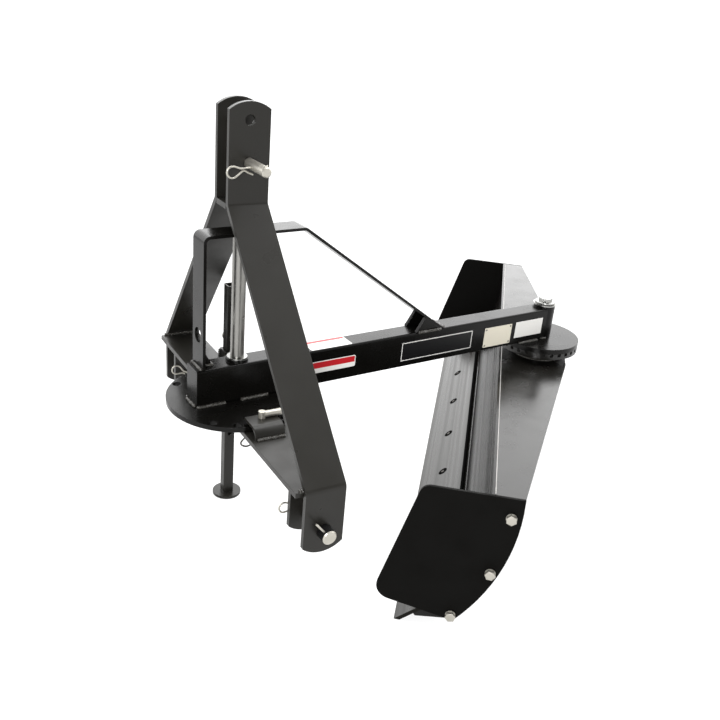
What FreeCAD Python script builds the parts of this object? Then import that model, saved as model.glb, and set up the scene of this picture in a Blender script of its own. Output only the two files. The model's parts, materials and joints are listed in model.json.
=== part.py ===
"""Rear grader blade for a tractor's three-point linkage.

+X points to the tractor, +Y to the left of the way of travel and +Z up. The mast and the boom are drawn
about the king pin and the blade about its own pivot, all with the ground at zero, and are then placed with
the origin on the ground at the middle of the whole machine.
"""
import FreeCAD, Part
import Sketcher
import math
import os
import re
from FreeCAD import Placement, Rotation, Vector

SIZES = {
    # flat bar of the mast, its ears and its legs
    "bar_width": 80,
    "bar_thick": 10,
    "ear_face": 33,
    "ear_shoulder": 959,
    "ear_crown": 14,
    "ear_bend": 788,
    "leg_face": 379,
    "leg_bend": 368.5,
    "leg_foot": 252,
    "leg_crown": 15,
    "leg_rake": 15,
    "bend_radius": 8,
    "spacer_thick": 10,
    # tractor's linkage pins
    "link_hole": 10,
    "link_hole_height": 940,
    "link_pin": 9.5,
    "link_pin_height": 864,
    "link_pin_reach": 112,
    "link_pin_back": 50,
    "hitch_pin": 14,
    "hitch_height": 282,
    "hitch_reach": 404,
    "pin_inner_end": 12,
    "link_gap": 49,
    "lug_end": 11,
    "pin_slack": 0.3,
    # cross bar and king pin
    "cross_top": 366.7,
    "cross_front": 40,
    "cross_back": 49,
    "cross_gap": 1.7,
    "king_radius": 14,
    "king_slack": 0.3,
    "king_rise": 14,
    "king_head": 22,
    "king_head_thick": 8,
    # index plate and its lock
    "running_gap": 0.3,
    "index_radius": 143,
    "index_thick": 10,
    "index_hole": 9,
    "index_circle": 131,
    "index_pitch": 21,
    "index_first": 45,
    "lock_width": 62,
    "lock_inner": 118,
    "lock_outer": 175,
    "lock_wall": 6,
    "lock_bend": 16,
    "lock_gap": 6,
    "lock_pin": 7,
    "lock_handle": 43,
    "handle_rod": 6.5,
    "lock_clear": 3,
    # boom
    "boom_width": 50,
    "boom_depth": 80,
    "boom_wall": 4,
    "boom_front": 97.6,
    "boom_swing": 3,
    "bush_radius": 23,
    "bush_tall": 6,
    "king_washer": 21,
    "hub_distance": 864,
    "hub_radius": 27,
    "hub_rise": 6,
    # strap over the boom
    "strap_width": 50,
    "strap_thick": 6,
    "strap_front": 85.4,
    "strap_top": 730,
    "strap_knee": 133,
    "strap_end": 518,
    "strap_radius": 8,
    "strap_hole": 15.5,
    "strap_hole_height": 525,
    "gusset_thick": 8,
    "gusset_long": 80,
    "gusset_tall": 34,
    # pivot at the rear of the boom
    "disc_radius": 100.8,
    "disc_thick": 12,
    "washer_radius": 29.5,
    "washer_thick": 3,
    "pivot_radius": 10,
    "pivot_head": 30,
    "pivot_head_tall": 13,
    "notch_width": 9,
    "notch_in": 6,
    "notch_count": 30,
    "notch_deep": 8,
    "notched_thick": 15,
    "pedestal_radius": 62,
    # parking stand
    "tube_side": 25,
    "tube_wall": 2.5,
    "tube_top": 543,
    "tube_hole": 5.5,
    "tube_hole_low": 171,
    "tube_hole_pitch": 81,
    "stand_y": -200,
    "sleeve_side": 35,
    "sleeve_slack": 0.6,
    "sleeve_top": 386,
    "sleeve_drop": 24,
    "stand_pin": 5,
    "stand_pin_head": 12,
    "stand_pin_thick": 6,
    "stand_pin_spare": 14,
    "foot_radius": 34,
    "foot_thick": 6,
    # blade
    "blade_length": 1466,
    "blade_top": 331,
    "blade_turn": 42.3,
    "edge_tip": 250,
    "edge_angle": 41,
    "edge_width": 135,
    "edge_thick": 8,
    "edge_reach": 34,
    "plow_hole": 7,
    "plow_pitch": 206,
    "plow_up": 72,
    "board_thick": 6,
    "board_foot": 12,
    "board_top": 96.5,
    "board_radius": 375,
    "top_thick": 6,
    "top_back": 73,
    "top_back_end": -33,
    "top_flat": 70,
    "rib_thick": 6,
    "rib_spread": 52,
    "shield_thick": 6,
    "shield_top": 226,
    "shield_front": 301,
    "shield_front_low": 60.5,
    "shield_top_radius": 22,
    "shield_low_radius": 32,
    "shield_back": 132,
    "shield_back_low": 27,
    "shield_rear": 33,
    "shield_bow": 440,
    "bolt_hole": 6.5,
    "bolt_top_x": 54,
    "bolt_top_z": 289,
    "bolt_mid_x": 75,
    "bolt_mid_z": 157,
    "bolt_low_x": 138,
    "bolt_low_z": 40.5,
}

doc = FreeCAD.newDocument("GraderBlade")
sheet = doc.addObject("Spreadsheet::Sheet", "Sizes")
for row, (word, number) in enumerate(SIZES.items(), 1):
    sheet.set(f"A{row}", word)
    sheet.set(f"B{row}", str(number))
    sheet.setAlias(f"B{row}", word)
doc.recompute()

PIECES = {"mast": [], "stand": [], "boom": [], "blade": []}


# ---------------------------------------------------------------- ways of making a piece

def bind(text):
    """Writes out an expression with its words as cells of the sheet."""
    return re.sub(r"[a-z_]+", lambda word: ("Sizes." if word[0] in SIZES else "") + word[0], str(text))


def value(text):
    """The number that an expression comes to now."""
    return float(sheet.evalExpression(bind(text)))


def piece(name, carrier):
    """An empty body, which moves with its carrier. Like pieces may share it as separate solids."""
    body = doc.addObject("PartDesign::Body", name)
    body.Label = name
    body.AllowCompound = True
    PIECES[carrier].append(body)
    return body


def size(sketch, kind, where, text):
    """A constraint whose size follows the sheet."""
    index = sketch.addConstraint(Sketcher.Constraint(kind, *where, value(text)))
    sketch.setExpression(f"Constraints[{index}]", bind(text))


def pin_down(sketch, shape, end, across, up):
    """Holds a point of a sketch at its two coordinates."""
    size(sketch, "DistanceX", (-1, 1, shape, end), across)
    size(sketch, "DistanceY", (-1, 1, shape, end), up)


def circle(sketch, across, up, radius):
    """A circle in a sketch."""
    round_line = Part.Circle(Vector(value(across), value(up), 0), Vector(0, 0, 1), value(radius))
    shape = sketch.addGeometry(round_line, False)
    pin_down(sketch, shape, 3, across, up)
    size(sketch, "Radius", (shape,), radius)


def arc(sketch, start, end, radius):
    """An arc between two points, with its centre to the left of the way when the radius is positive.
    Returns the shape and the numbers of its first and last end."""
    half = (end - start) / 2
    rise = math.sqrt(radius ** 2 - half.Length ** 2)
    side = Vector(-half.y, half.x, 0).normalize() * math.copysign(rise, radius)
    centre = start + half + side
    turn = [math.atan2(point.y - centre.y, point.x - centre.x) for point in (start, end)]
    ends = (1, 2)
    if radius < 0:
        turn.reverse()
        ends = (2, 1)
    whole = Part.Circle(centre, Vector(0, 0, 1), abs(radius))
    return (sketch.addGeometry(Part.ArcOfCircle(whole, *turn), False),) + ends


def outline(sketch, corners):
    """A closed line through corners (across, up). A third value rounds the corner. After None it is the
    radius of a bow in the side that leaves the corner, positive with its centre to the left."""
    places = [Vector(value(corner[0]), value(corner[1]), 0) for corner in corners]
    rounds = [corner[2] if len(corner) == 3 else None for corner in corners]
    bows = [corner[3] if len(corner) == 4 else None for corner in corners]
    count = len(corners)
    entries, exits = [], []
    for here in range(count):
        before = (places[here - 1] - places[here]).normalize()
        after = (places[(here + 1) % count] - places[here]).normalize()
        reach = value(rounds[here]) / math.tan(before.getAngle(after) / 2) if rounds[here] else 0
        entries.append(places[here] + before * reach)
        exits.append(places[here] + after * reach)
    sides = []
    for here in range(count):
        there = (here + 1) % count
        if bows[here]:
            sides.append(arc(sketch, exits[here], entries[there], value(bows[here])))
            size(sketch, "Radius", (sides[-1][0],), f"abs({bows[here]})")
        else:
            line = Part.LineSegment(exits[here], entries[there])
            sides.append((sketch.addGeometry(line, False), 1, 2))
    for here in range(count):
        into, out_of = sides[here - 1], sides[here]
        if rounds[here]:
            before, after = places[here] - entries[here], exits[here] - places[here]
            turn = math.copysign(value(rounds[here]), before.cross(after).z)
            curve = arc(sketch, entries[here], exits[here], turn)
            sketch.addConstraint(Sketcher.Constraint("Tangent", into[0], into[2], curve[0], curve[1]))
            sketch.addConstraint(Sketcher.Constraint("Tangent", curve[0], curve[2], out_of[0], out_of[1]))
            size(sketch, "Radius", (curve[0],), rounds[here])
            corner = sketch.addGeometry(Part.Point(places[here]), True)
            pin_down(sketch, corner, 1, *corners[here][:2])
            sketch.addConstraint(Sketcher.Constraint("PointOnObject", corner, 1, into[0]))
            sketch.addConstraint(Sketcher.Constraint("PointOnObject", corner, 1, out_of[0]))
        else:
            sketch.addConstraint(Sketcher.Constraint("Coincident", into[0], into[2], out_of[0], out_of[1]))
            pin_down(sketch, out_of[0], out_of[1], *corners[here][:2])


def draw(body, plane, loops, place=("0", "0", "0"), tilt=None):
    """A sketch on one of the body's own planes, moved across, up and along its normal, and then tilted
    about its own upward line. A loop is a list of corners, or a circle (across, up, radius)."""
    sketch = body.newObject("Sketcher::SketchObject", body.Name + "_outline")
    support = [feature for feature in body.Origin.OriginFeatures if feature.Role == plane + "_Plane"]
    sketch.AttachmentSupport = [(support[0], "")]
    sketch.MapMode = "FlatFace"
    if tilt:
        sketch.AttachmentOffset = Placement(Vector(), Rotation(Vector(0, 1, 0), value(tilt)))
        sketch.setExpression("AttachmentOffset.Rotation.Angle", bind(tilt))
    for axis, text in zip("xyz", place):
        sketch.setExpression(f"AttachmentOffset.Base.{axis}", bind(text))
    for loop in loops:
        if isinstance(loop, tuple):
            circle(sketch, *loop)
        else:
            outline(sketch, loop)
    return sketch


def pad(body, sketch, length, middle=False):
    """Adds the sketch's thickness, to both sides of it when middle."""
    feature = body.newObject("PartDesign::Pad", body.Name + "_pad")
    feature.Profile = sketch
    feature.SideType = "Symmetric" if middle else "One side"
    feature.setExpression("Length", bind(length))
    return feature


def cut(body, sketch, depth=None):
    """Cuts the sketch right through the body, both ways, or to a depth against its normal."""
    feature = body.newObject("PartDesign::Pocket", body.Name + "_cut")
    feature.Profile = sketch
    if depth:
        feature.setExpression("Length", bind(depth))
    else:
        feature.SideType = "Symmetric"
        feature.Type = "ThroughAll"
    return feature


def add_plate(body, plane, start, thick, loops):
    """A flat plate, from start to start + thick along the axis that its plane leaves out."""
    level = f"-({start}) - ({thick})" if plane == "XZ" else start
    pad(body, draw(body, plane, loops, ("0", "0", level)), thick)


def plate(name, carrier, plane, start, thick, loops):
    """A piece that starts as one flat plate."""
    body = piece(name, carrier)
    add_plate(body, plane, start, thick, loops)
    return body


def add_turned(body, along, centre, profile):
    """A turned shape about a line along Y or Z through centre. The profile gives (along, radius)."""
    if along == "Z":
        points = [(radius, height, *rest) for height, radius, *rest in profile]
        sketch = draw(body, "XZ", [points], (centre[0], "0", f"-({centre[1]})"))
    else:
        sketch = draw(body, "YZ", [profile], ("0", centre[1], centre[0]))
    feature = body.newObject("PartDesign::Revolution", body.Name + "_turned")
    feature.Profile = sketch
    feature.ReferenceAxis = (sketch, ["V_Axis" if along == "Z" else "H_Axis"])
    feature.Angle = 360


def turned(name, carrier, along, centre, profile):
    """A piece that is turned in one go."""
    body = piece(name, carrier)
    add_turned(body, along, centre, profile)
    return body


def ring(low, thick, bore, rim):
    """Half the section of a flat ring."""
    return [(low, bore), (low, rim), (f"{low} + {thick}", rim), (f"{low} + {thick}", bore)]


def pin_profile(low, high, radius, chamfer="1.5"):
    """Half the section of a plain pin with chamfered ends."""
    return [(low, "0"), (low, f"{radius} - {chamfer}"), (f"{low} + {chamfer}", radius),
            (f"{high} - {chamfer}", radius), (high, f"{radius} - {chamfer}"), (high, "0")]


def box(back, front, low, high, *rounding):
    """The corners of a rectangle."""
    return [(back, low, *rounding), (front, low, *rounding), (front, high, *rounding),
            (back, high, *rounding)]


# ---------------------------------------------------------------- levels and lines that pieces share

cross_under = "(cross_top - bar_thick)"
boom_under = "(cross_top + running_gap + index_thick)"
boom_over = f"({boom_under} + boom_depth)"
splay = "atan((leg_face - ear_face) / (ear_bend - leg_bend))"
hub_over = f"({boom_over} + hub_rise)"
notched_top = f"({boom_under} - disc_thick - running_gap)"
stand_x = "(-(cross_back + sleeve_side / 2))"
king_bore = "(king_radius + king_slack)"
pivot_bore = "(pivot_radius + king_slack)"
lock_over = f"({boom_under} + lock_gap + lock_wall)"
lug_face = "(leg_face - bar_thick - link_gap)"
cross_end = "(leg_face - bar_thick - cross_gap)"


# ---------------------------------------------------------------- mast

def mast_leg(side, way):
    """One flat bar from its ear over two bends to the lower hitch pin. It leans back by the rake."""
    body = piece("mast_leg_" + side, "mast")
    inner_drop = f"bar_thick * tan({splay} / 2)"
    top = "ear_shoulder + ear_crown"
    bottom = "leg_foot - leg_crown"
    tight, wide = "bend_radius", "bend_radius + bar_thick"
    section = [
        (f"{way} * ear_face", top),
        (f"{way} * ear_face", "ear_bend", tight),
        (f"{way} * leg_face", "leg_bend", wide),
        (f"{way} * leg_face", bottom),
        (f"{way} * (leg_face - bar_thick)", bottom),
        (f"{way} * (leg_face - bar_thick)", f"leg_bend - {inner_drop}", tight),
        (f"{way} * (ear_face - bar_thick)", f"ear_bend - {inner_drop}", wide),
        (f"{way} * (ear_face - bar_thick)", top),
    ]
    pad(body, draw(body, "YZ", [section]), "2 * bar_width", middle=True)
    half = "bar_width / 2"
    crown = "((bar_width / 2) ^ 2 + {0} ^ 2) / (2 * {0})"
    side_view = [
        (f"-{half}", "ear_shoulder", None, "-" + crown.format("ear_crown")),
        (half, "ear_shoulder"),
        (half, "ear_bend"),
        (f"{half} - leg_rake", "leg_bend"),
        (f"{half} - leg_rake", "leg_foot", None, "-" + crown.format("leg_crown")),
        (f"-{half} - leg_rake", "leg_foot"),
        (f"-{half} - leg_rake", "leg_bend"),
        (f"-{half}", "ear_bend"),
    ]
    holes = [("0", "link_hole_height", "link_hole"), ("0", "link_pin_height", "link_pin + pin_slack"),
             ("-leg_rake", "hitch_height", "hitch_pin + pin_slack")]
    around = box("-2 * bar_width", "2 * bar_width", "0", "2 * ear_shoulder")
    cut(body, draw(body, "XZ", [around, side_view] + holes))


def hitch_lugs():
    """The inner cheeks of the lower links' clevises, below the cross bar."""
    body = piece("hitch_lugs", "mast")
    half = "bar_width / 2"
    crown = "((bar_width / 2) ^ 2 + leg_crown ^ 2) / (2 * leg_crown)"
    loop = [
        (f"{half} - leg_rake", "leg_foot + lug_end", None, "-" + crown),
        (f"-{half} - leg_rake", "leg_foot + lug_end"),
        (f"-{half} - leg_rake", cross_under),
        (f"{half} - leg_rake", cross_under),
    ]
    hole = ("-leg_rake", "hitch_height", "hitch_pin + pin_slack")
    for start in (lug_face + " - bar_thick", "-" + lug_face):
        add_plate(body, "XZ", start, "bar_thick", [loop, hole])


def linkage_pins():
    """The top link's pin through the ears, and a lower link's pin through each lug and leg."""
    body = piece("linkage_pins", "mast")
    add_turned(body, "Y", ("0", "link_pin_height"),
               pin_profile("-link_pin_back", "link_pin_reach", "link_pin", "2"))
    near = f"({lug_face} - bar_thick - pin_inner_end)"
    for ends in ((near, "hitch_reach"), ("-hitch_reach", f"-{near}")):
        add_turned(body, "Y", ("-leg_rake", "hitch_height"), pin_profile(*ends, "hitch_pin", "2"))


def mast():
    mast_leg("left", 1)
    mast_leg("right", -1)
    hitch_lugs()
    linkage_pins()
    king_hole = ("0", "0", king_bore)
    low_bar = box("-cross_back", "cross_front", f"-{cross_end}", cross_end)
    bars = plate("cross_bars", "mast", "XY", cross_under, "bar_thick", [low_bar, king_hole])
    spacer = box("-bar_width / 2", "bar_width / 2", "-(ear_face - bar_thick)", "ear_face - bar_thick")
    add_plate(bars, "XY", "ear_bend - spacer_thick", "spacer_thick", [spacer, king_hole])
    head_low = f"{cross_under} - king_head_thick"
    king_top = "ear_bend + king_rise"
    turned("king_pin", "mast", "Z", ("0", "0"), [
        (head_low, "0"), (head_low, "king_head - 2"), (f"{head_low} + 2", "king_head"),
        (cross_under, "king_head"), (cross_under, "king_radius"), (f"{king_top} - 3", "king_radius"),
        (king_top, "king_radius - 3"), (king_top, "0")])


def index_lock():
    """A bent bracket on the cross bar that reaches over the rim of the index plate, and its drawn pin with
    a cranked handle."""
    body = piece("lock_bracket", "mast")
    section = [
        ("lock_outer", "cross_top"), ("lock_outer", lock_over, "lock_bend + lock_wall"),
        ("lock_inner", lock_over), ("lock_inner", f"{lock_over} - lock_wall"),
        ("lock_outer - lock_wall", f"{lock_over} - lock_wall", "lock_bend"),
        ("lock_outer - lock_wall", "cross_top"),
    ]
    pad(body, draw(body, "YZ", [section]), "lock_width", middle=True)
    cut(body, draw(body, "XY", [("0", "index_circle", "lock_pin + pin_slack")]))
    rod = piece("lock_pin", "mast")
    tip = f"({boom_under} + lock_clear)"
    handle = f"({lock_over} + lock_pin)"
    add_plate(rod, "XY", tip, f"{handle} + lock_pin - {tip}", [("0", "index_circle", "lock_pin")])
    add_plate(rod, "YZ", "-lock_handle", "lock_handle", [("index_circle", handle, "handle_rod")])


def parking_stand():
    """A square tube welded to a round foot, in a sleeve behind the cross bar, with a pin through it."""
    def square(width, *rounding):
        half = f"{width} / 2"
        return box(f"{stand_x} - {half}", f"{stand_x} + {half}", f"stand_y - {half}", f"stand_y + {half}",
                   *rounding)
    low = "cross_top - sleeve_drop"
    plate("stand_sleeve", "mast", "XY", low, f"sleeve_top - ({low})",
          [square("sleeve_side", "3"), square("(tube_side + 2 * sleeve_slack)")])
    tube = plate("stand_tube", "stand", "XY", "0", "foot_thick", [(stand_x, "stand_y", "foot_radius")])
    add_plate(tube, "XY", "foot_thick", "tube_top - foot_thick",
              [square("tube_side", "3"), square("(tube_side - 2 * tube_wall)")])
    heights = [f"tube_hole_low + {step} * tube_hole_pitch" for step in range(5)]
    cut(tube, draw(tube, "XZ", [(stand_x, height, "tube_hole") for height in heights]))
    face = "(stand_y - tube_side / 2)"
    head = f"{face} - stand_pin_thick"
    end = "stand_y + tube_side / 2 + stand_pin_spare"
    turned("stand_pin", "stand", "Y", (stand_x, heights[3]), [
        (head, "0"), (head, "stand_pin_head"), (face, "stand_pin_head"), (face, "stand_pin"),
        (end, "stand_pin"), (end, "0")])


# ---------------------------------------------------------------- boom

def boom_plates():
    """The round plates welded below the boom: the index plate at the king pin, with a row of lock holes on
    each side, and the disc at the pivot."""
    body = plate("boom_plates", "boom", "XY", f"{boom_under} - index_thick", "index_thick",
                 [("0", "0", "index_radius"), ("0", "0", king_bore)])
    for way in (1, -1):
        first = (f"index_circle * cos({way} * index_first)", f"index_circle * sin({way} * index_first)")
        pocket = cut(body, draw(body, "XY", [first + ("index_hole",)]))
        pattern = body.newObject("PartDesign::PolarPattern", body.Name + "_row")
        pattern.Originals = [pocket]
        pattern.Axis = (pocket.Profile[0], ["N_Axis"])
        pattern.setExpression("Angle", bind("4 * index_pitch"))
        pattern.Occurrences = 5
        pattern.Reversed = way < 0
        body.Tip = pattern
    add_plate(body, "XY", f"{boom_under} - disc_thick", "disc_thick",
              [("-hub_distance", "0", "disc_radius"), ("-hub_distance", "0", pivot_bore)])


def boom_tube():
    """A rectangular tube, welded to the pivot's tube at its rear end and to a bush over the king pin."""
    body = piece("boom_tube", "boom")
    half = "boom_width / 2"
    inner = "(boom_width / 2 - boom_wall)"
    walls = [box(f"-{half}", half, boom_under, boom_over, "boom_wall"),
             box(f"-{inner}", inner, f"{boom_under} + boom_wall", f"{boom_over} - boom_wall")]
    pad(body, draw(body, "YZ", walls, ("0", "0", "-hub_distance")), "boom_front + hub_distance")
    add_turned(body, "Z", ("-hub_distance", "0"), [
        (boom_under, "0"), (boom_under, "hub_radius"), (f"{hub_over} - 2", "hub_radius"),
        (hub_over, "hub_radius - 2"), (hub_over, "0")])
    add_plate(body, "XY", boom_over, "bush_tall", [("0", "0", "bush_radius")])
    cut(body, draw(body, "XY", [("-hub_distance", "0", pivot_bore), ("0", "0", king_bore)]))


def boom_strap():
    """A flat bar that rises in front of the king pin, runs back over it and slopes down to the boom."""
    body = piece("boom_strap", "boom")
    slope = f"atan((strap_top - {boom_over}) / (strap_end - strap_knee))"
    knee = f"strap_thick * tan({slope} / 2)"
    foot = f"strap_thick / sin({slope})"
    section = [
        ("strap_front", boom_over),
        ("strap_front", "strap_top", "strap_radius + strap_thick"),
        ("-strap_knee", "strap_top", "strap_radius + strap_thick"),
        ("-strap_end", boom_over),
        (f"-strap_end + {foot}", boom_over),
        (f"-strap_knee + {knee}", "strap_top - strap_thick", "strap_radius"),
        ("strap_front - strap_thick", "strap_top - strap_thick", "strap_radius"),
        ("strap_front - strap_thick", boom_over),
    ]
    pad(body, draw(body, "XZ", [section]), "strap_width", middle=True)
    cut(body, draw(body, "XY", [("0", "0", king_bore)]))
    round_hole = ("0", "strap_hole_height", "strap_hole")
    window = cut(body, draw(body, "YZ", [round_hole], ("0", "0", "strap_front")))
    window.Type = "Length"
    window.setExpression("Length", bind("4 * strap_thick"))


def boom_small_pieces():
    """The gussets at both ends of the strap, the cap and the washers."""
    slope = f"((strap_top - {boom_over}) / (strap_end - strap_knee))"
    heel = f"-strap_end + strap_thick / sin(atan({slope}))"
    wedge = [(heel, boom_over), ("-strap_end + gusset_long", boom_over),
             (f"{heel} + gusset_tall / {slope}", f"{boom_over} + gusset_tall")]
    sides = piece("strap_gussets", "boom")
    for start in ("strap_width / 2 - gusset_thick", "-strap_width / 2"):
        add_plate(sides, "XZ", start, "gusset_thick", [wedge])
    upright_back = "strap_front - strap_thick"
    plate("front_gusset", "boom", "XZ", "-gusset_thick / 2", "gusset_thick", [[
        (upright_back, boom_over), (upright_back, f"{boom_over} + 30"),
        (f"{upright_back} - 6", f"{boom_over} + 30"), (f"{upright_back} - 24", boom_over)]])
    inside = "boom_width / 2 - boom_wall - 0.2"
    plate("boom_cap", "boom", "YZ", "boom_front - boom_wall", "boom_wall", [
        box(f"-({inside})", inside, f"{boom_under} + boom_wall + 0.2", f"{boom_over} - boom_wall - 0.2")])
    bush_top = f"{boom_over} + bush_tall"
    washers = piece("boom_washers", "boom")
    add_turned(washers, "Z", ("0", "0"), ring(bush_top, "washer_thick", king_bore, "king_washer"))
    add_turned(washers, "Z", ("-hub_distance", "0"),
               ring(hub_over, "washer_thick", pivot_bore, "washer_radius"))


# ---------------------------------------------------------------- blade, about its pivot

edge_top_x = "(edge_tip - edge_width * cos(edge_angle))"
edge_top_z = "(edge_width * sin(edge_angle))"
edge_back_x = f"({edge_top_x} - edge_thick * sin(edge_angle))"
edge_back_z = f"({edge_top_z} - edge_thick * cos(edge_angle))"
toe_x = "(edge_tip - edge_thick / sin(edge_angle) - edge_reach * cos(edge_angle))"
toe_z = "(edge_reach * sin(edge_angle))"
bend_x = f"({edge_back_x} - board_foot * cos(edge_angle))"
bend_z = f"({edge_back_z} + board_foot * sin(edge_angle))"
chord_tilt = f"atan(({bend_x} - board_top) / (blade_top - {bend_z}))"
chord_half = f"asin(sqrt(({bend_x} - board_top) ^ 2 + (blade_top - {bend_z}) ^ 2) / 2 / board_radius)"
top_lean = f"({chord_half} - {chord_tilt})"
bend_turn = f"(90 deg - {chord_tilt} - {chord_half} - edge_angle * 1 deg)"
mitre = f"(board_thick / cos({bend_turn} / 2))"
behind_x = f"({bend_x} - {mitre} * sin(edge_angle * 1 deg + {bend_turn} / 2))"
behind_z = f"({bend_z} - {mitre} * cos(edge_angle * 1 deg + {bend_turn} / 2))"
heel_x = f"({toe_x} - board_thick * sin(edge_angle))"
heel_z = f"({toe_z} - board_thick * cos(edge_angle))"
board_rear = f"(board_top - board_thick / cos({top_lean}))"
shield_bolts = [(f"bolt_{spot}_x", f"bolt_{spot}_z", "bolt_hole") for spot in ("top", "mid", "low")]


def plow_bolt_holes(body):
    """The row of holes that the cutting edge and the foot of the moldboard share, square to them both."""
    row = [("-plow_up", f"{step} * plow_pitch", "plow_hole") for step in range(-3, 4)]
    cut(body, draw(body, "XY", row, ("edge_tip", "0", "0"), tilt="edge_angle"))


def cutting_edge():
    """A sloping bar along the foot of the blade, with a row of plow bolt holes."""
    body = piece("cutting_edge", "blade")
    section = [("edge_tip", "0"), (edge_top_x, edge_top_z), (edge_back_x, edge_back_z),
               ("edge_tip - edge_thick / sin(edge_angle)", "0")]
    pad(body, draw(body, "XZ", [section]), "blade_length", middle=True)
    plow_bolt_holes(body)


def moldboard():
    """The curved sheet, straight at its foot behind the cutting edge."""
    body = piece("moldboard", "blade")
    section = [
        (toe_x, toe_z), (bend_x, bend_z, None, "-board_radius"), ("board_top", "blade_top"),
        (board_rear, "blade_top", None, "board_radius + board_thick"), (behind_x, behind_z), (heel_x, heel_z)]
    pad(body, draw(body, "XZ", [section]), "blade_length", middle=True)
    plow_bolt_holes(body)


def blade_ribs():
    """Upright ribs behind the moldboard, at its ends and beside the pivot."""
    under = "(blade_top - top_thick)"
    under_x = f"({board_rear} - top_thick * tan({top_lean}))"
    end = "blade_length / 2 - rib_thick"
    shape = [(heel_x, heel_z), (behind_x, behind_z, None, "-(board_radius + board_thick)"), (under_x, under),
             ("shield_rear + 1", under, None, "shield_bow"), ("shield_back + 2", "shield_back_low")]
    deep = [(behind_x, behind_z, None, "-(board_radius + board_thick)"), (under_x, under),
            ("-top_back + 20", under), ("-top_back + 20", f"{under} - 25")]
    for name, middle, loops in (("end_ribs", end, [shape] + shield_bolts),
                                ("centre_ribs", "rib_spread", [deep])):
        body = piece(name, "blade")
        for start in (middle, f"-({middle}) - rib_thick"):
            add_plate(body, "XZ", start, "rib_thick", loops)


def end_shields():
    """The side plates that are bolted to the end ribs."""
    body = piece("end_shields", "blade")
    loop = [
        ("shield_rear", "blade_top"), ("shield_rear", "blade_top - 5", None, "shield_bow"),
        ("shield_back", "shield_back_low"), ("shield_front", "shield_front_low", "shield_low_radius"),
        ("shield_top", "blade_top", "shield_top_radius")]
    for start in ("blade_length / 2", "-blade_length / 2 - shield_thick"):
        add_plate(body, "XZ", start, "shield_thick", [loop] + shield_bolts)


def top_plate():
    """The level plate behind the top of the moldboard, widest under the pivot."""
    half = "blade_length / 2"
    front = f"({board_rear} - top_thick * tan({top_lean}))"
    loop = [(front, f"-{half}"), (front, half), ("-top_back_end", half), ("-top_back", "top_flat"),
            ("-top_back", "-top_flat"), ("-top_back_end", f"-{half}")]
    plate("top_plate", "blade", "XY", "blade_top - top_thick", "top_thick", [loop])


def pivot():
    """The notched disc on its pedestal, and the bolt that the blade turns on."""
    low = f"({notched_top} - notched_thick)"
    turned("pedestal", "blade", "Z", ("0", "0"), [
        ("blade_top", "0"), ("blade_top", "pedestal_radius"), (low, "pedestal_radius"), (low, "0")])
    disc = plate("notched_disc", "blade", "XY", low, "notched_thick",
                 [("0", "0", "disc_radius"), ("0", "0", "pivot_radius + pin_slack")])
    slot = box("disc_radius - notch_in", "disc_radius + notch_in", "-notch_width / 2", "notch_width / 2")
    rim = draw(disc, "XY", [slot], ("0", "0", notched_top))
    notch = cut(disc, rim, "notch_deep")
    pattern = disc.newObject("PartDesign::PolarPattern", "notches")
    pattern.Originals = [notch]
    pattern.Axis = (notch.Profile[0], ["N_Axis"])
    pattern.Angle = 360
    pattern.setExpression("Occurrences", bind("notch_count"))
    disc.Tip = pattern
    seat = f"({hub_over} + washer_thick + running_gap)"
    bolt = plate("pivot_bolt", "blade", "XY", low, f"{seat} - {low}", [("0", "0", "pivot_radius")])
    corner = "(pivot_head / 2 / cos(30))"
    hexagon = [(f"{corner} * cos({60 * step})", f"{corner} * sin({60 * step})") for step in range(6)]
    add_plate(bolt, "XY", seat, "pivot_head_tall", [hexagon])


# ---------------------------------------------------------------- the whole machine

mast()
index_lock()
parking_stand()
boom_plates()
boom_tube()
boom_strap()
boom_small_pieces()
cutting_edge()
moldboard()
blade_ribs()
end_shields()
top_plate()
pivot()
doc.recompute()

upright = Vector(0, 0, 1)
swing = Rotation(upright, value("boom_swing"))
hub_place = swing.multVec(Vector(-value("hub_distance"), 0, 0))
FRAMES = {
    "mast": Placement(),
    "stand": Placement(),
    "boom": Placement(Vector(), swing),
    "blade": Placement(hub_place, Rotation(upright, value("boom_swing") - value("blade_turn"))),
}
PLACED = [(body, FRAMES[carrier]) for carrier, bodies in PIECES.items() for body in bodies]
whole = FreeCAD.BoundBox()
for body, frame in PLACED:
    body.Placement = frame
    whole.add(body.Shape.optimalBoundingBox(False, False))
middle = Vector(-whole.Center.x, -whole.Center.y, -whole.ZMin)
for body, frame in PLACED:
    body.Placement = Placement(frame.Base + middle, frame.Rotation)
doc.recompute()

os.makedirs("parts", exist_ok=True)
for feature in doc.Objects:
    if set(feature.State) & {"Invalid", "Error"}:
        raise RuntimeError(f"{feature.Name} failed: {feature.State}")
for body, frame in PLACED:
    if body.Shape.isNull() or not body.Shape.isValid() or len(body.Shape.Solids) < 1:
        raise RuntimeError(f"{body.Label} has no sound shape")
    body.Shape.exportStep(f"parts/{body.Label}.step")
print("pieces", len(PLACED))
print("king pin at", [round(part, 3) for part in middle])
print("hub at", [round(part, 3) for part in hub_place + middle])
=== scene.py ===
"""Dresses the grader blade: enamel and plating, stickers, bolts, clips, welds and a plain studio."""

import json
import math

import bmesh
import bpy
from mathutils import Euler, Matrix, Vector


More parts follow.
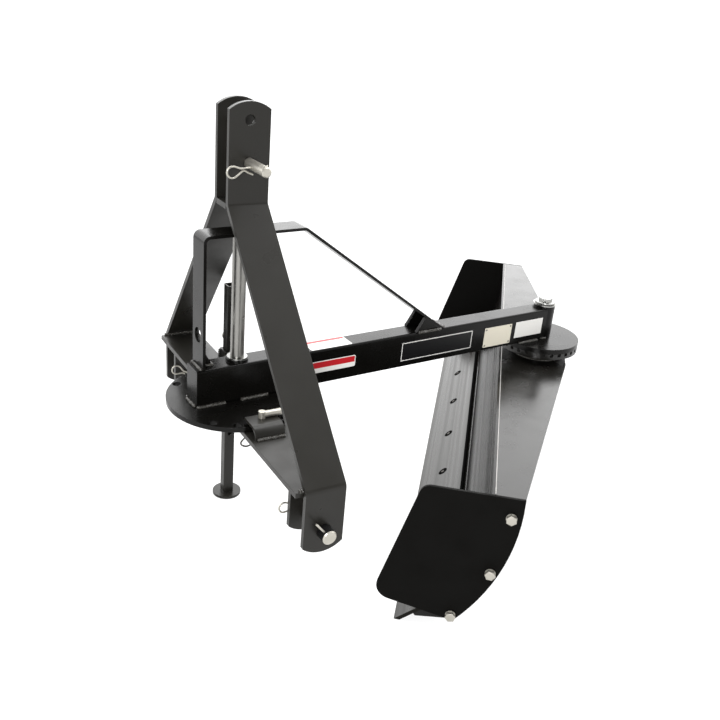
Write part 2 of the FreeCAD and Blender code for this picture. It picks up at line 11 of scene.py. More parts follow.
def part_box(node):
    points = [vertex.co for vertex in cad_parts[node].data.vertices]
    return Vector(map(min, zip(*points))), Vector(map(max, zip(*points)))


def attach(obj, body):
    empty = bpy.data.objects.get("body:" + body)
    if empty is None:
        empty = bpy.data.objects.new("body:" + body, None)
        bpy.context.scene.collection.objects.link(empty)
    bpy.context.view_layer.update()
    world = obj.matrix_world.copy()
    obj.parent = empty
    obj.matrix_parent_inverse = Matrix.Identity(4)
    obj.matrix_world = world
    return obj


bl_info = {
    "name": "Grader Blade",
    "version": (1, 0, 0),
    "blender": (4, 5, 0),
    "location": "View3D > Sidebar > Grader Blade",
    "description": "Adds the finish, stickers, fasteners and welds of a rear grader blade",
    "category": "Add Mesh",
}

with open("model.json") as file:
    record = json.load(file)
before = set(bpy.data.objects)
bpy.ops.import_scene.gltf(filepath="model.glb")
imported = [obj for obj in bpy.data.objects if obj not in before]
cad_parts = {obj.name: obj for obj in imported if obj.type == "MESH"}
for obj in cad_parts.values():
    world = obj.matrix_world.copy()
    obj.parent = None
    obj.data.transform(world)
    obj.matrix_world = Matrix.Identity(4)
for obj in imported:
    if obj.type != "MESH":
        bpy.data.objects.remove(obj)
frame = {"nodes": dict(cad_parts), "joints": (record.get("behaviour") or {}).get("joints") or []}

MM = 0.001
# Corners over this many degrees stay sharp when a piece is shaded smooth; on wire and welds, over more.
SHARP = 35
ROUNDED_SHARP = 60

JOINTS = {joint["name"]: joint for joint in frame["joints"]}
KING_PIN = Vector(JOINTS["boom_swing"]["pos_m"])
HUB = Vector(JOINTS["blade_angle"]["pos_m"])
BOOM_TURN = math.atan2(KING_PIN.y - HUB.y, KING_PIN.x - HUB.x)
# At rest the blade is turned this far from square to the boom.
BLADE_SET = math.radians(42.3)
BLADE_TURN = BOOM_TURN - BLADE_SET
REACH = math.hypot(KING_PIN.x - HUB.x, KING_PIN.y - HUB.y)

# Each body's own frame: x forwards, y to the left, z up from the ground.
PLACES = {
    "mast": Matrix.Translation((KING_PIN.x, KING_PIN.y, 0)),
    "boom": Matrix.Translation((KING_PIN.x, KING_PIN.y, 0)) @ Matrix.Rotation(BOOM_TURN, 4, "Z"),
    "blade": Matrix.Translation((HUB.x, HUB.y, 0)) @ Matrix.Rotation(BLADE_TURN, 4, "Z"),
}
BOOM_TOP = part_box("boom_strap")[0].z
BOOM_SIDE = 25 * MM
# The cutting edge leans back, and its bolts stand square on it.
EDGE_LEAN = math.radians(41)
PLOW_BOLT_WAY = Vector((math.sin(EDGE_LEAN), 0, math.cos(EDGE_LEAN)))


# Sizes and colours that can be changed.


class PaintSettings(bpy.types.PropertyGroup):
    enamel: bpy.props.FloatVectorProperty(
        name="Enamel",
        description="Colour of the glossy black enamel",
        default=(0.0068, 0.0064, 0.0054),
        subtype="COLOR",
        size=3,
    )
    gloss: bpy.props.FloatProperty(
        name="Enamel roughness",
        description="Roughness of the enamel",
        default=0.24,
        min=0.0,
        max=1.0,
        subtype="FACTOR",
    )
    edge: bpy.props.FloatProperty(
        name="Edge radius",
        description="Radius that the paint gives to sheared edges",
        default=1.2 * MM,
        subtype="DISTANCE",
        unit="LENGTH",
    )


class StickerSettings(bpy.types.PropertyGroup):
    thickness: bpy.props.FloatProperty(
        name="Thickness",
        description="Thickness of the film",
        default=0.3 * MM,
        subtype="DISTANCE",
        unit="LENGTH",
    )
    corner: bpy.props.FloatProperty(
        name="Corner radius",
        description="Radius of the sticker corners",
        default=4 * MM,
        subtype="DISTANCE",
        unit="LENGTH",
    )
    border: bpy.props.FloatProperty(
        name="Border",
        description="Width of the white border",
        default=2 * MM,
        subtype="DISTANCE",
        unit="LENGTH",
    )
    red: bpy.props.FloatVectorProperty(
        name="Red",
        description="Colour of the red stickers",
        default=(0.45, 0.012, 0.018),
        subtype="COLOR",
        size=3,
    )


class FastenerSettings(bpy.types.PropertyGroup):
    across_flats: bpy.props.FloatProperty(
        name="Across flats",
        description="Width of a bolt head across its flats",
        default=19 * MM,
        subtype="DISTANCE",
        unit="LENGTH",
    )
    head_height: bpy.props.FloatProperty(
        name="Head height",
        description="Height of a bolt head",
        default=7.5 * MM,
        subtype="DISTANCE",
        unit="LENGTH",
    )
    nut_height: bpy.props.FloatProperty(
        name="Nut height",
        description="Height of a nut",
        default=10 * MM,
        subtype="DISTANCE",
        unit="LENGTH",
    )
    washer: bpy.props.FloatProperty(
        name="Washer radius",
        description="Outer radius of a washer",
        default=10.6 * MM,
        subtype="DISTANCE",
        unit="LENGTH",
    )
    plow_head: bpy.props.FloatProperty(
        name="Plow bolt head radius",
        description="Radius of a flush plow bolt head",
        default=12.5 * MM,
        subtype="DISTANCE",
        unit="LENGTH",
    )
    wire: bpy.props.FloatProperty(
        name="Clip wire",
        description="Diameter of the wire of the spring clips",
        default=3.6 * MM,
        subtype="DISTANCE",
        unit="LENGTH",
    )


class WeldSettings(bpy.types.PropertyGroup):
    width: bpy.props.FloatProperty(
        name="Bead width",
        description="Width of a weld bead",
        default=9.5 * MM,
        subtype="DISTANCE",
        unit="LENGTH",
    )
    pitch: bpy.props.FloatProperty(
        name="Ripple pitch",
        description="Distance from one ripple of a weld to the next",
        default=3.4 * MM,
        subtype="DISTANCE",
        unit="LENGTH",
    )


class StageSettings(bpy.types.PropertyGroup):
    camera_place: bpy.props.FloatVectorProperty(
        name="Camera place",
        description="Camera place from the foot of the king pin",
        default=(0.627, 1.4789, 1.1974),
        subtype="TRANSLATION",
        unit="LENGTH",
        size=3,
    )
    camera_turn: bpy.props.FloatVectorProperty(
        name="Camera turn",
        description="Tilt from straight down, pan, and roll of the camera",
        default=(math.radians(65.695), math.radians(148.07), math.radians(5.224)),
        subtype="EULER",
        unit="ROTATION",
        size=3,
    )
    lens: bpy.props.FloatProperty(
        name="Lens",
        description="Focal length of the camera in millimetres",
        default=42.93,
    )
    floor: bpy.props.FloatProperty(
        name="Floor size",
        description="Side of the square floor",
        default=400.0,
        subtype="DISTANCE",
        unit="LENGTH",
    )


# Hands: selecting, shaping and placing.


def deselect():
    bpy.ops.object.select_all(action="DESELECT")


def select_only(*pieces):
    """The first piece becomes the active one."""
    deselect()
    for piece in pieces:
        piece.select_set(True)
    bpy.context.view_layer.objects.active = pieces[0]


def select_faces(piece, wanted):
    """In edit mode: selects the faces for which wanted(face) is true."""
    bpy.ops.mesh.select_mode(type="FACE")
    bpy.ops.mesh.select_all(action="DESELECT")
    shape = bmesh.from_edit_mesh(piece.data)
    for face in shape.faces:
        face.select = wanted(face)
    bmesh.update_edit_mesh(piece.data)


def apply_modifier(kind, **values):
    piece = bpy.context.active_object
    bpy.ops.object.modifier_add(type=kind)
    modifier = piece.modifiers[-1]
    for key, value in values.items():
        setattr(modifier, key, value)
    bpy.ops.object.modifier_apply(modifier=modifier.name)


def coat(piece, *materials):
    piece.data.materials.clear()
    for material in materials:
        piece.data.materials.append(material)


def join(name, *pieces):
    select_only(*pieces)
    if len(pieces) > 1:
        bpy.ops.object.join()
    piece = bpy.context.active_object
    piece.name = name
    piece.data.name = name
    return piece


def settle(piece, place):
    """Moves the piece to its place and leaves its object at the origin."""
    select_only(piece)
    piece.matrix_world = place @ piece.matrix_world
    bpy.ops.object.transform_apply(location=True, rotation=True, scale=True)


def copy_of(piece):
    select_only(piece)
    bpy.ops.object.duplicate(linked=False)
    return bpy.context.active_object


def remove(piece):
    select_only(piece)
    bpy.ops.object.delete()


def smooth(piece, degrees=SHARP):
    select_only(piece)
    bpy.ops.object.shade_smooth_by_angle(angle=math.radians(degrees))


def facing(point, normal):
    """A place at point whose z axis is along normal."""
    return Matrix.Translation(point) @ Vector(normal).to_track_quat("Z", "Y").to_matrix().to_4x4()


# Finishes. Noise scales are in cycles per metre.

# Noise hardly leaves this range, so it is stretched to the whole of it.
NOISE_LOW = 0.3
NOISE_HIGH = 0.7
EDGE_SAMPLES = 6
BLOTCHES = 18
PEEL = 420
PEEL_STRENGTH = 0.05
PEEL_DEPTH = 0.3 * MM
SCUFFS = 60
ROLLING_DEPTH = 0.2 * MM
# Grain of the rolled steel across and along the blade: marks in the surface, then bands of gloss.
MARKS = (6 * MM, 1500 * MM)
BANDS = (14 * MM, 2500 * MM)
# A side duller than the front: the gloss starts at the first cosine and is whole at the second.
DULL_COSINE = 0.85
GLOSSY_COSINE = 0.97
DULL_SPECULAR = 0.02
# The end of a pin faces along it more nearly than this cosine.
END_COSINE = 0.7


def new_finish(name, colour, roughness, metallic=0.0, specular=0.3):
    finish = bpy.data.materials.new(name)
    finish.use_nodes = True
    shader = finish.node_tree.nodes["Principled BSDF"]
    shader.inputs["Base Color"].default_value = (*colour, 1)
    shader.inputs["Roughness"].default_value = roughness
    shader.inputs["Metallic"].default_value = metallic
    shader.inputs["Specular IOR Level"].default_value = specular
    return finish


def noise(finish, scale, detail=3.0):
    nodes, links = finish.node_tree.nodes, finish.node_tree.links
    place = nodes.new("ShaderNodeTexCoord")
    pattern = nodes.new("ShaderNodeTexNoise")
    pattern.inputs["Scale"].default_value = scale
    pattern.inputs["Detail"].default_value = detail
    links.new(place.outputs["Object"], pattern.inputs["Vector"])
    return pattern.outputs["Fac"]


def vary(finish, socket, low, high, scale, detail=3.0):
    """Lets a value of the shader wander between low and high."""
    nodes, links = finish.node_tree.nodes, finish.node_tree.links
    spread = nodes.new("ShaderNodeMapRange")
    spread.inputs["From Min"].default_value = NOISE_LOW
    spread.inputs["From Max"].default_value = NOISE_HIGH
    spread.inputs["To Min"].default_value = low
    spread.inputs["To Max"].default_value = high
    links.new(noise(finish, scale, detail), spread.inputs["Value"])
    links.new(spread.outputs["Result"], nodes["Principled BSDF"].inputs[socket])


def tint(finish, low, high, scale, detail=4.0):
    """Lets the colour wander between low and high."""
    nodes, links = finish.node_tree.nodes, finish.node_tree.links
    blend = nodes.new("ShaderNodeMix")
    blend.data_type = "RGBA"
    blend.inputs["A"].default_value = (*low, 1)
    blend.inputs["B"].default_value = (*high, 1)
    links.new(noise(finish, scale, detail), blend.inputs["Factor"])
    links.new(blend.outputs["Result"], nodes["Principled BSDF"].inputs["Base Color"])


def relief(finish, scale, strength, depth, edge=0.0):
    """Surface texture, with sheared edges rounded by the radius edge."""
    nodes, links = finish.node_tree.nodes, finish.node_tree.links
    bump = nodes.new("ShaderNodeBump")
    bump.inputs["Strength"].default_value = strength
    bump.inputs["Distance"].default_value = depth
    links.new(noise(finish, scale), bump.inputs["Height"])
    if edge:
        rounding = nodes.new("ShaderNodeBevel")
        rounding.samples = EDGE_SAMPLES
        rounding.inputs["Radius"].default_value = edge
        links.new(rounding.outputs["Normal"], bump.inputs["Normal"])
    links.new(bump.outputs["Normal"], nodes["Principled BSDF"].inputs["Normal"])


def enamel(name, colour, roughness, edge, specular=0.3):
    finish = new_finish(name, colour, roughness, specular=specular)
    vary(finish, "Roughness", roughness * 0.8, roughness * 1.25, BLOTCHES)
    relief(finish, PEEL, PEEL_STRENGTH, PEEL_DEPTH, edge)
    return finish


def plating(name, colour, roughness, metallic=1.0):
    finish = new_finish(name, colour, roughness, metallic, 0.5)
    vary(finish, "Roughness", roughness * 0.85, roughness * 1.2, SCUFFS)
    return finish


def along_blade(finish, across, along):
    """A fine grain that runs along the blade."""
    nodes, links = finish.node_tree.nodes, finish.node_tree.links
    place = nodes.new("ShaderNodeTexCoord")
    turn = nodes.new("ShaderNodeMapping")
    turn.vector_type = "TEXTURE"
    turn.inputs["Rotation"].default_value = (0, 0, BLADE_TURN)
    turn.inputs["Scale"].default_value = (across, along, across)
    grain = nodes.new("ShaderNodeTexNoise")
    grain.inputs["Scale"].default_value = 1.0
    grain.inputs["Detail"].default_value = 3.0
    links.new(place.outputs["Object"], turn.inputs["Vector"])
    links.new(turn.outputs["Vector"], grain.inputs["Vector"])
    return grain.outputs["Fac"]


def rolled(finish, strength):
    """Rolling marks that run along the blade, under the paint."""
    nodes, links = finish.node_tree.nodes, finish.node_tree.links
    bump = nodes["Bump"]
    bump.inputs["Strength"].default_value = strength
    bump.inputs["Distance"].default_value = ROLLING_DEPTH
    links.new(along_blade(finish, *MARKS), bump.inputs["Height"])
    spread = nodes["Map Range"]
    spread.inputs["To Min"].default_value *= 1 - strength
    spread.inputs["To Max"].default_value *= 1 + strength
    links.new(along_blade(finish, *BANDS), spread.inputs["Value"])


def dull_sides(finish, front, specular):
    """Keeps the gloss on the face along front and leaves the sheared sides dull."""
    nodes, links = finish.node_tree.nodes, finish.node_tree.links
    place = nodes.new("ShaderNodeTexCoord")
    facing_front = nodes.new("ShaderNodeVectorMath")
    facing_front.operation = "DOT_PRODUCT"
    facing_front.inputs[1].default_value = front
    links.new(place.outputs["Normal"], facing_front.inputs[0])
    gloss = nodes.new("ShaderNodeMapRange")
    gloss.inputs["From Min"].default_value = DULL_COSINE
    gloss.inputs["From Max"].default_value = GLOSSY_COSINE
    gloss.inputs["To Min"].default_value = DULL_SPECULAR
    gloss.inputs["To Max"].default_value = specular
    links.new(facing_front.outputs["Value"], gloss.inputs["Value"])
    links.new(gloss.outputs["Result"], nodes["Principled BSDF"].inputs["Specular IOR Level"])


def dark_shanks(finish, top, dark):
    """Below the height top, leaves the plating on the ends of the pins only."""
    nodes, links = finish.node_tree.nodes, finish.node_tree.links
    shader = nodes["Principled BSDF"]
    place = nodes.new("ShaderNodeTexCoord")
    masks = []
    for output, axis, limit in (("Normal", "Y", END_COSINE), ("Object", "Z", top)):
        parts = nodes.new("ShaderNodeSeparateXYZ")
        links.new(place.outputs[output], parts.inputs[0])
        size = nodes.new("ShaderNodeMath")
        size.operation = "ABSOLUTE"
        links.new(parts.outputs[axis], size.inputs[0])
        below = nodes.new("ShaderNodeMath")
        below.operation = "LESS_THAN"
        below.inputs[1].default_value = limit
        links.new(size.outputs[0], below.inputs[0])
        masks.append(below)
    both = nodes.new("ShaderNodeMath")
    both.operation = "MULTIPLY"
    links.new(masks[0].outputs[0], both.inputs[0])
    links.new(masks[1].outputs[0], both.inputs[1])
    blend = nodes.new("ShaderNodeMix")
    blend.data_type = "RGBA"
    plated = shader.inputs["Base Color"].links[0].from_socket
    links.new(both.outputs[0], blend.inputs["Factor"])
    links.new(plated, blend.inputs["A"])
    blend.inputs["B"].default_value = (*dark, 1)
    links.new(blend.outputs["Result"], shader.inputs["Base Color"])


FINISHES = {}

# Label, share of the enamel's colour, share of its roughness, and specular. The shares and speculars make
# lighter and darker copies of the one black enamel: painted light and shade that stands in for how the
# light falls on each body.
ENAMELS_LIT_AND_SHADED = {
    "mast": ("Mast enamel", 1.9, 1.4, 0.25),
    "boom": ("Boom enamel", 0.4, 1.0, 0.17),
    "board": ("Moldboard enamel", 0.7, 1.0, 0.2),
    "plate": ("Top plate enamel", 1.0, 1.0, 0.4),
    "edge": ("Cutting edge enamel", 1.6, 1.2, 0.3),
}
BOARD_ROLLING = 0.25
EDGE_ROLLING = 0.06
EDGE_SPECULAR = 0.2
# The end shields get a darker copy of the enamel: painted shade.
SHIELD_PAINTED_SHADE = 0.4
SHIELD_ROUGHNESS = 0.55
SHIELD_SPECULAR = 0.05
WELD_SHADE = 5
WELD_SPECULAR = 0.6
ZINC = (0.45, 0.43, 0.38)
ZINC_SPREAD = ((0.36, 0.345, 0.3), (0.5, 0.48, 0.43))
ZINC_PATCHES = 70
# The hitch pins lie below this height and the top link pin above it.
HITCH_BELOW = 0.5
DARK_SHANK = (0.02, 0.02, 0.02)


def zinc(name):
    finish = plating(name, ZINC, 0.38, 0.8)
    tint(finish, *ZINC_SPREAD, ZINC_PATCHES)
    return finish


def mix_finishes():
    paint = bpy.context.scene.blade_paint
    sticker = bpy.context.scene.blade_sticker

    def shade(share):
        return tuple(share * part for part in paint.enamel)

    # Each body's enamel is made lighter or darker by its share: painted light and shade, not a different
    # paint.
    for key, (name, share, dulling, specular) in ENAMELS_LIT_AND_SHADED.items():
        FINISHES[key] = enamel(name, shade(share), paint.gloss * dulling, paint.edge, specular)
    rolled(FINISHES["board"], BOARD_ROLLING)
    rolled(FINISHES["edge"], EDGE_ROLLING)
    dull_sides(FINISHES["edge"], PLACES["blade"].to_3x3() @ PLOW_BOLT_WAY, EDGE_SPECULAR)
    FINISHES["shield"] = enamel(
        "End shield enamel", shade(SHIELD_PAINTED_SHADE), SHIELD_ROUGHNESS, paint.edge, SHIELD_SPECULAR
    )
    FINISHES["weld"] = enamel("Weld enamel", shade(WELD_SHADE), paint.gloss, 0.0, WELD_SPECULAR)
    FINISHES["zinc"] = zinc("Zinc plating")
    FINISHES["link_pin"] = zinc("Link pin plating")
    dark_shanks(FINISHES["link_pin"], HITCH_BELOW, DARK_SHANK)
    FINISHES["hub_zinc"] = plating("Bright zinc plating", (0.3, 0.3, 0.29), 0.26)
    FINISHES["steel"] = plating("Turned steel", (0.26, 0.255, 0.24), 0.32)
    FINISHES["dark_steel"] = plating("Oiled steel", (0.1, 0.095, 0.09), 0.5)
    # Bright steel for the strip on the moldboard's top lip: a painted highlight along the bend.
    FINISHES["worn"] = plating("Highlight steel", (0.3, 0.29, 0.28), 0.5, 0.6)
    # A matte black with no reflection, used as painted shade in the plow bolt recesses and in the corner
    # above the cutting edge.
    FINISHES["recess"] = new_finish("Black recess", (0.003, 0.003, 0.003), 0.8, specular=0.0)
    FINISHES["bolt_middle"] = new_finish("Bolt middle", (0.09, 0.085, 0.08), 0.7, specular=0.0)
    FINISHES["red"] = new_finish("Red film", tuple(sticker.red), 0.35)
    FINISHES["white"] = new_finish("White film", (0.72, 0.71, 0.68), 0.4)
    FINISHES["cream"] = new_finish("Cream plate", (0.68, 0.64, 0.53), 0.4)
    FINISHES["black_film"] = new_finish("Black film", (0.004, 0.004, 0.0045), 0.3)


NODE_FINISH = {
    "king_pin": "steel",
    "linkage_pins": "link_pin",
    "lock_pin": "zinc",
    "stand_pin": "zinc",
    "pivot_bolt": "hub_zinc",
    "boom_washers": "hub_zinc",
    "end_shields": "shield",
    "moldboard": "board",
    "cutting_edge": "edge",
    "centre_ribs": "board",
    "end_ribs": "board",
    "notched_disc": "plate",
    "pedestal": "boom",
    "top_plate": "plate",
    "boom_cap": "boom",
    "boom_plates": "boom",
    "boom_strap": "boom",
    "boom_tube": "boom",
    "front_gusset": "boom",
    "strap_gussets": "boom",
    "cross_bars": "mast",
    "hitch_lugs": "mast",
    "lock_bracket": "mast",
    "mast_leg_left": "mast",
    "mast_leg_right": "mast",
    "stand_sleeve": "mast",
    "stand_tube": "mast",
}


class BLADE_OT_finish(bpy.types.Operator):
    """Coats the parts with enamel and plating"""

    bl_idname = "blade.finish"
    bl_label = "Coat Parts"

    def execute(self, context):
        mix_finishes()
        for name, node in frame["nodes"].items():
            coat(node, FINISHES[NODE_FINISH[name]])
        return {"FINISHED"}


# Stickers and plates: width and height of each, in millimetres.
CARD_SIZES = {
    "side_sticker": (112, 27),
    "name_panel": (213.5, 51),
    "white_label": (91.5, 42.5),
    "top_sticker": (102, 45),
    "data_plate": (87.5, 51),
}
# Their middles on the boom, from the king pin: forwards and up, in millimetres.
SIDE_PLACES = {
    "side_sticker": (-219, 417.5),
    "name_panel": (-504.2, 414.5),
    "white_label": (-794.2, 415.7),
    "data_plate": (-691.2, 410.5),
}
# The middle of the top sticker: forwards and to the left.
TOP_PLACE = (-216 * MM, -1.5 * MM)
# A sticker is sunk this far into the boom, so that no gap shows.
SUNK = 0.1 * MM
# The red of a sticker starts at this height over its middle.
SIDE_RED = -2.5 * MM
TOP_RED = 11 * MM
PANEL_RIM = 3 * MM
PANEL_LINE = 2 * MM
LABEL_CORNER = 1 * MM
DATA_PLATE_CORNER = 2 * MM
DATA_PLATE_THICKNESS = 0.8 * MM
RIVET_RADIUS = 2.2 * MM
RIVET_FLATNESS = 0.6
RIVET_INSET = 5 * MM
RIVET_HEIGHT = 0.9 * MM


def card(name, corner, thickness, bands):
    """A rounded card that lies in xy. bands lists (width, finish) from the rim inwards."""
    width, height = (size * MM for size in CARD_SIZES[name])
    bpy.ops.mesh.primitive_plane_add(size=1)
    piece = join(name, bpy.context.active_object)
    for band in bands:
        piece.data.materials.append(FINISHES[band[1]])
    bpy.ops.object.mode_set(mode="EDIT")
    bpy.ops.mesh.select_all(action="SELECT")
    bpy.ops.transform.resize(value=(width, height, 1))
    if corner:
        bpy.ops.mesh.bevel(offset=corner, segments=6, affect="VERTICES")
    bpy.ops.mesh.select_all(action="SELECT")
    for slot in range(1, len(bands)):
        bpy.ops.mesh.inset(thickness=bands[slot - 1][0], depth=0)
        piece.active_material_index = slot
        bpy.ops.object.material_slot_assign()
    bpy.ops.object.mode_set(mode="OBJECT")
    select_only(piece)
    apply_modifier("SOLIDIFY", thickness=thickness, offset=1)
    return piece


def split_card(piece, height, finish):
    """Gives the middle of a card another finish above the given height."""
    select_only(piece)
    piece.data.materials.append(FINISHES[finish])
    middle = len(piece.data.materials) - 2
    bpy.ops.object.mode_set(mode="EDIT")
    bpy.ops.mesh.select_all(action="SELECT")
    bpy.ops.mesh.bisect(plane_co=(0, height, 0), plane_no=(0, 1, 0))
    select_faces(
        piece,
        lambda face: face.material_index == middle and face.calc_center_median().y > height,
    )
    piece.active_material_index = middle + 1
    bpy.ops.object.material_slot_assign()
    bpy.ops.object.mode_set(mode="OBJECT")


def on_boom_side(name):
    """The place of a card on the left face of the boom, with local x to the rear and y up."""
    x, z = (value * MM for value in SIDE_PLACES[name])
    turn = Euler((math.radians(90), 0, math.radians(180))).to_matrix().to_4x4()
    return PLACES["boom"] @ Matrix.Translation((x, BOOM_SIDE - SUNK, z)) @ turn


class BLADE_OT_stickers(bpy.types.Operator):
    """Adds the blank stickers and the name panel to the boom"""

    bl_idname = "blade.stickers"
    bl_label = "Add Stickers"

    def execute(self, context):
        sticker = context.scene.blade_sticker
        film = sticker.thickness
        framed = [(sticker.border, "white"), (0, "white")]
        side = card("side_sticker", sticker.corner, film, framed)
        split_card(side, SIDE_RED, "red")

        rims = [(PANEL_RIM, "black_film"), (PANEL_LINE, "white"), (0, "black_film")]
        panel = card("name_panel", 0, film, rims)
        label = card("white_label", LABEL_CORNER, film, [(0, "white")])
        for piece in (side, panel, label):
            settle(piece, on_boom_side(piece.name))

        top = card("top_sticker", sticker.corner, film, framed)
        split_card(top, TOP_RED, "red")
        lying = Matrix.Translation((*TOP_PLACE, BOOM_TOP - SUNK))
        settle(top, PLACES["boom"] @ lying @ Matrix.Rotation(math.pi, 4, "Z"))

        for piece in (side, panel, label, top):
            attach(piece, "boom")
        return {"FINISHED"}


class BLADE_OT_data_plate(bpy.types.Operator):
    """Adds the riveted data plate to the boom"""

    bl_idname = "blade.data_plate"
    bl_label = "Add Data Plate"

    def execute(self, context):
        plate = card("data_plate", DATA_PLATE_CORNER, DATA_PLATE_THICKNESS, [(0, "cream")])
        bpy.ops.mesh.primitive_uv_sphere_add(segments=16, ring_count=8, radius=RIVET_RADIUS)
        rivet = bpy.context.active_object
        bpy.ops.object.mode_set(mode="EDIT")
        bpy.ops.transform.resize(value=(1, 1, RIVET_FLATNESS))
        bpy.ops.object.mode_set(mode="OBJECT")
        coat(rivet, FINISHES["dark_steel"])
        smooth(rivet)
        across, up = (size * MM / 2 - RIVET_INSET for size in CARD_SIZES["data_plate"])
        rivets = []
        for x in (-across, across):
            for y in (-up, up):
                one = copy_of(rivet)
                settle(one, Matrix.Translation((x, y, RIVET_HEIGHT)))
                rivets.append(one)
        remove(rivet)
        rivets = join("data_plate_rivets", *rivets)
        for piece in (plate, rivets):
            settle(piece, on_boom_side("data_plate"))
            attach(piece, "boom")
        return {"FINISHED"}


# Bolts and nuts, each with its axis along z.
ROUND = 40
# A disc's corner, as a share of its height or radius.
DISC_CORNER = 0.25
# The top face of a piece has a normal with a z over this.
LEVEL = 0.9
PLOW_FACETS = 24
THREAD_FACETS = 24
CORNER_CUT = 1.0 * MM
CORNER_RISE = 0.5 * MM
CORNER_ROUND = 0.35 * MM
WASHER_THICKNESS = 2.2 * MM
THREAD_RADIUS = 6 * MM
THREAD_PITCH = 1.75 * MM
THREAD_PAST_NUT = 6 * MM
# Radius at the root of a thread, as a share of its outer radius.
THREAD_ROOT = 0.88


def cylinder(sides, radius, height, base):
    """A cylinder that stands at the height base."""
    middle = (0, 0, base + height / 2)
    bpy.ops.mesh.primitive_cylinder_add(vertices=sides, radius=radius, depth=height, location=middle)
    bpy.ops.object.transform_apply(location=True, rotation=True, scale=True)
    return bpy.context.active_object


def hexagon(across, height, base):
    """A hexagon with its upper corners turned off."""
    piece = cylinder(6, across / 2 / math.cos(math.radians(30)), height, base)
    bpy.ops.object.mode_set(mode="EDIT")
    select_faces(piece, lambda face: face.normal.z > LEVEL)
    bpy.ops.mesh.inset(thickness=CORNER_CUT, depth=CORNER_RISE)
    bpy.ops.object.mode_set(mode="OBJECT")
    apply_modifier("BEVEL", width=CORNER_ROUND, segments=2, limit_method="ANGLE")
    return piece


def disc(radius, height, base, facets=ROUND):
    piece = cylinder(facets, radius, height, base)
    apply_modifier("BEVEL", width=DISC_CORNER * min(height, radius), segments=2, limit_method="ANGLE")
    return piece


def thread(radius, pitch, length):
    """A threaded end that rises from z = 0."""
    bpy.ops.mesh.primitive_circle_add(vertices=THREAD_FACETS, radius=radius * THREAD_ROOT, fill_type="NGON")
    piece = bpy.context.active_object
    bpy.ops.object.mode_set(mode="EDIT")
    turns = max(1, round(length / pitch))
    for _ in range(turns):
        for factor in (1 / THREAD_ROOT, THREAD_ROOT):
            step = (0, 0, length / turns / 2)
            bpy.ops.mesh.extrude_region_move(TRANSFORM_OT_translate={"value": step})
            bpy.ops.transform.resize(value=(factor, factor, 1))
    bpy.ops.mesh.select_all(action="SELECT")
    bpy.ops.mesh.normals_make_consistent(inside=False)
    bpy.ops.object.mode_set(mode="OBJECT")
    return piece


def hex_bolt(name, fastener):
    """A bolt head on its washer, standing on z = 0."""
    washer = disc(fastener.washer, WASHER_THICKNESS, 0)
    head = hexagon(fastener.across_flats, fastener.head_height, WASHER_THICKNESS)
    bolt = join(name, head, washer)
    coat(bolt, FINISHES["zinc"])
    smooth(bolt)
    return bolt


def nut_end(name, fastener, finish):
    """A nut on its washer, standing on z = 0, with the bolt's thread through it."""
    washer = disc(fastener.washer, WASHER_THICKNESS, 0)
    nut = hexagon(fastener.across_flats, fastener.nut_height, WASHER_THICKNESS)
    length = WASHER_THICKNESS + fastener.nut_height + THREAD_PAST_NUT
    end = thread(THREAD_RADIUS, THREAD_PITCH, length)
    piece = join(name, nut, washer, end)
    coat(piece, FINISHES[finish])
    smooth(piece)
    return piece


# Centres of the shield bolts: forwards and up.
SHIELD_BOLTS = ((54 * MM, 289 * MM), (75 * MM, 157 * MM), (138 * MM, 40.5 * MM))
# The outer face of a shield and the inner face of its rib, from the middle of the blade.
SHIELD_FACE = 739 * MM
RIB_FACE = 727 * MM
# The bolts along a shield are tightened to different turns.
FIRST_SPIN = 8
NEXT_SPIN = 17


class BLADE_OT_shield_bolts(bpy.types.Operator):
    """Adds the bolts and nuts that hold the end shields"""

    bl_idname = "blade.shield_bolts"
    bl_label = "Add Shield Bolts"

    def execute(self, context):
        fastener = context.scene.blade_fastener
        bolt = hex_bolt("shield_bolt", fastener)
        nut = nut_end("shield_nut", fastener, "zinc")
        for side, hand in ((1, "left"), (-1, "right")):
            for number, (x, z) in enumerate(SHIELD_BOLTS):
                spin = Matrix.Rotation(math.radians(NEXT_SPIN * number + FIRST_SPIN), 4, "Z")
                for model, face, way in ((bolt, SHIELD_FACE, side), (nut, RIB_FACE, -side)):
                    one = copy_of(model)
                    one.name = f"{model.name}_{hand}_{number + 1}"
                    settle(one, PLACES["blade"] @ facing((x, side * face, z), (0, way, 0)) @ spin)
                    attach(one, "blade")
        remove(bolt)
        remove(nut)
        return {"FINISHED"}


PLOW_BOLT_PITCH = 206 * MM
PLOW_BOLT_FACE = (195.7 * MM, 47.2 * MM)
PLOW_BOLT_GRIP = 14 * MM
PLOW_BOLTS_A_SIDE = 3
PLOW_RIM_HEIGHT = 1.2 * MM
PLOW_RIM_SUNK = 0.8 * MM
PLOW_MIDDLE_SHARE = 0.35
PLOW_MIDDLE_HEIGHT = 0.7 * MM


